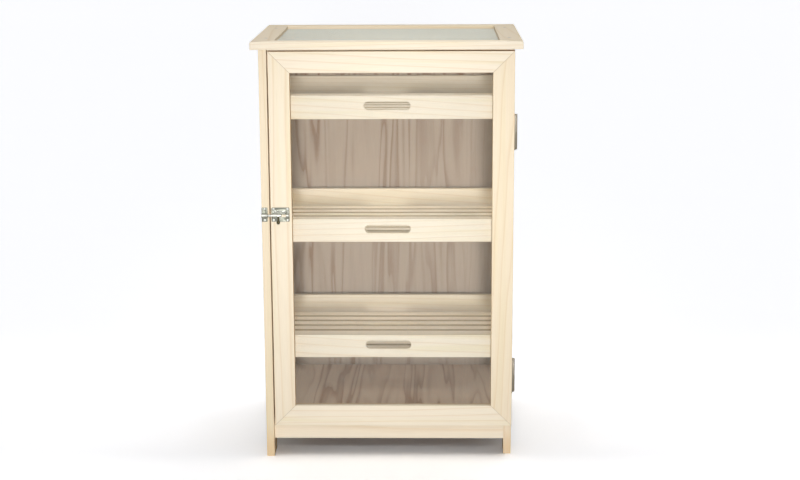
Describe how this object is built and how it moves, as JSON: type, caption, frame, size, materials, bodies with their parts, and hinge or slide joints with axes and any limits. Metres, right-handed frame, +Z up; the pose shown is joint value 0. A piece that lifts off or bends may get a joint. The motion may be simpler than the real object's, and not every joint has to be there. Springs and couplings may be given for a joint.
{
  "type": "ventilated food cabinet",
  "caption": "Narrow pine food cabinet with woven mesh panels, a side hinged door with a barrel bolt, and slatted pull-out trays.",
  "frame": {"origin": "on the floor, in the middle of the cabinet's outline seen from above", "axes": "+Z up, -Y towards the viewer of the door, +X to the viewer's right (hinge side)"},
  "size_m": [0.5, 0.3754, 0.796],
  "materials": {
    "pine": "planed, untreated",
    "plywood": "rotary cut veneer, untreated",
    "wire_mesh": "fine woven wire",
    "zinc_plated_steel": "bright zinc",
    "steel_rod": "bright zinc"
  },
  "bodies": {
    "cabinet": {"post_front_left": "pine", "post_front_right": "pine", "post_back_left": "pine", "post_back_right": "pine", "side_rail_top_left": "pine", "side_rail_top_right": "pine", "side_rail_bottom_left": "pine", "side_rail_bottom_right": "pine", "side_mesh_left": "wire_mesh", "side_mesh_right": "wire_mesh", "rail_front_top": "pine", "rail_front_bottom": "pine", "rail_back_top": "pine", "rail_back_bottom": "pine", "back_panel": "plywood", "floor_panel": "plywood", "runner_1_left": "pine", "runner_1_right": "pine", "runner_2_left": "pine", "runner_2_right": "pine", "runner_3_left": "pine", "runner_3_right": "pine", "top_rail_front": "pine", "top_rail_back": "pine", "top_rail_left": "pine", "top_rail_right": "pine", "top_mesh": "wire_mesh", "top_screws": "zinc_plated_steel", "cabinet_beads": "pine", "hinge_leaves_cabinet": "zinc_plated_steel", "hinge_screws_cabinet": "zinc_plated_steel", "keeper": "zinc_plated_steel", "keeper_screws": "zinc_plated_steel"},
    "door": {"door_stile_left": "pine", "door_stile_right": "pine", "door_rail_top": "pine", "door_rail_bottom": "pine", "door_mesh": "wire_mesh", "door_beads": "pine", "hinge_leaves_door": "zinc_plated_steel", "hinge_screws_door": "zinc_plated_steel", "bolt_plate": "zinc_plated_steel", "bolt_screws": "zinc_plated_steel"},
    "bolt": {"bolt_rod": "steel_rod"},
    "tray_1": {"tray_1_front": "pine", "tray_1_back": "pine", "tray_1_left": "pine", "tray_1_right": "pine", "tray_1_slats": "pine"},
    "tray_2": {"tray_2_front": "pine", "tray_2_back": "pine", "tray_2_left": "pine", "tray_2_right": "pine", "tray_2_slats": "pine"},
    "tray_3": {"tray_3_front": "pine", "tray_3_back": "pine", "tray_3_left": "pine", "tray_3_right": "pine", "tray_3_slats": "pine"}
  },
  "joints": [
    {"name": "door_swing", "type": "hinge", "parent": "cabinet", "child": "door", "pos_m": [0.238, -0.16375, 0.4], "axis": [0, 0, 1], "range_deg": [0, 180]},
    {"name": "bolt_slide", "type": "slide", "parent": "door", "child": "bolt", "axis": [1, 0, 0], "range_m": [-0.006, 0.01]},
    {"name": "tray_1_slide", "type": "slide", "parent": "cabinet", "child": "tray_1", "axis": [0, -1, 0], "range_m": [0, 0.25]},
    {"name": "tray_2_slide", "type": "slide", "parent": "cabinet", "child": "tray_2", "axis": [0, -1, 0], "range_m": [0, 0.25]},
    {"name": "tray_3_slide", "type": "slide", "parent": "cabinet", "child": "tray_3", "axis": [0, -1, 0], "range_m": [0, 0.25]}
  ],
  "couplings": [
    {"joint": "tray_1_slide", "follows": "door_swing", "m_per_rad": 0.03},
    {"joint": "tray_2_slide", "follows": "door_swing", "m_per_rad": 0.03},
    {"joint": "tray_3_slide", "follows": "door_swing", "m_per_rad": 0.03}
  ]
}
